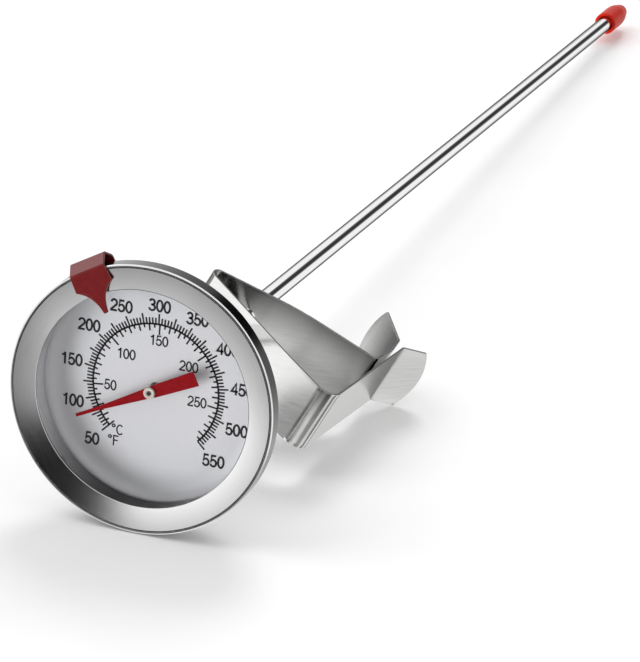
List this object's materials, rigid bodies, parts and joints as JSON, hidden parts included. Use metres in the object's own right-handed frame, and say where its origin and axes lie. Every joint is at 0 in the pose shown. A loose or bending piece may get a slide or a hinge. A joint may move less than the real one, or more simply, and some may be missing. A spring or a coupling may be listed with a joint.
{
  "type": "dial thermometer",
  "caption": "Bimetal dial thermometer: a round glazed dial on a long thin stem, with a rim marker, a sliding pot-wall clip and a soft cap over the tip.",
  "frame": {"origin": "centre of the stem's flat tip, where the stem's axis meets it, under the tip cap", "axes": "+Y along the stem's axis from the dial out through the tip, so the dial faces -Y; +Z towards the top of the dial (300 on the outer scale); +X to the right of the dial seen from its front"},
  "size_m": [0.0582, 0.3167, 0.0539],
  "materials": {
    "brushed_steel": "satin stainless, brushed round the dial",
    "polished_steel": "polished stainless",
    "spring_steel": "bright rolled spring steel",
    "glass": "clear flat window",
    "gasket_rubber": "matt black seal",
    "dial_enamel": "pale silver paint, black scale",
    "brass": "turned brass",
    "bimetal": "dull rolled bimetal strip",
    "pointer_paint": "satin red paint",
    "hub_plastic": "cream",
    "marker_paint": "gloss maroon coat",
    "cap_vinyl": "soft orange-red vinyl"
  },
  "bodies": {
    "case": {"bezel_ring": "brushed_steel", "lens": "glass", "lens_gasket": "gasket_rubber", "dial_retaining_ring": "polished_steel", "dial_plate": "dial_enamel", "case_cup": "brushed_steel", "stem_ferrule": "polished_steel", "stem_tube": "polished_steel", "stem_tip_plug": "polished_steel", "shaft_guide_front": "brass", "shaft_guide_middle": "brass", "shaft_guide_rear": "brass", "bimetal_coil": "bimetal", "coil_anchor": "brass"},
    "pointer": {"pointer_needle": "pointer_paint", "pointer_hub": "hub_plastic", "pointer_shaft": "polished_steel", "coil_coupler": "brass"},
    "rim_marker": {"rim_marker": "marker_paint"},
    "pot_clip": {"pot_clip": "spring_steel"},
    "tip_cap": {"tip_cap": "cap_vinyl"}
  },
  "joints": [
    {"name": "pointer_spin", "type": "hinge", "parent": "case", "child": "pointer", "pos_m": [0, -0.3084, 0], "axis": [0, 1, 0], "range_deg": [-18.9, 251.1]},
    {"name": "marker_turn", "type": "hinge", "parent": "case", "child": "rim_marker", "pos_m": [0, -0.3114, 0], "axis": [0, 1, 0], "continuous": true},
    {"name": "clip_slide", "type": "slide", "parent": "case", "child": "pot_clip", "axis": [0, 1, 0], "range_m": [-0.024, 0.245]},
    {"name": "cap_pull", "type": "slide", "parent": "case", "child": "tip_cap", "axis": [0, 1, 0], "range_m": [0, 0.02]}
  ]
}
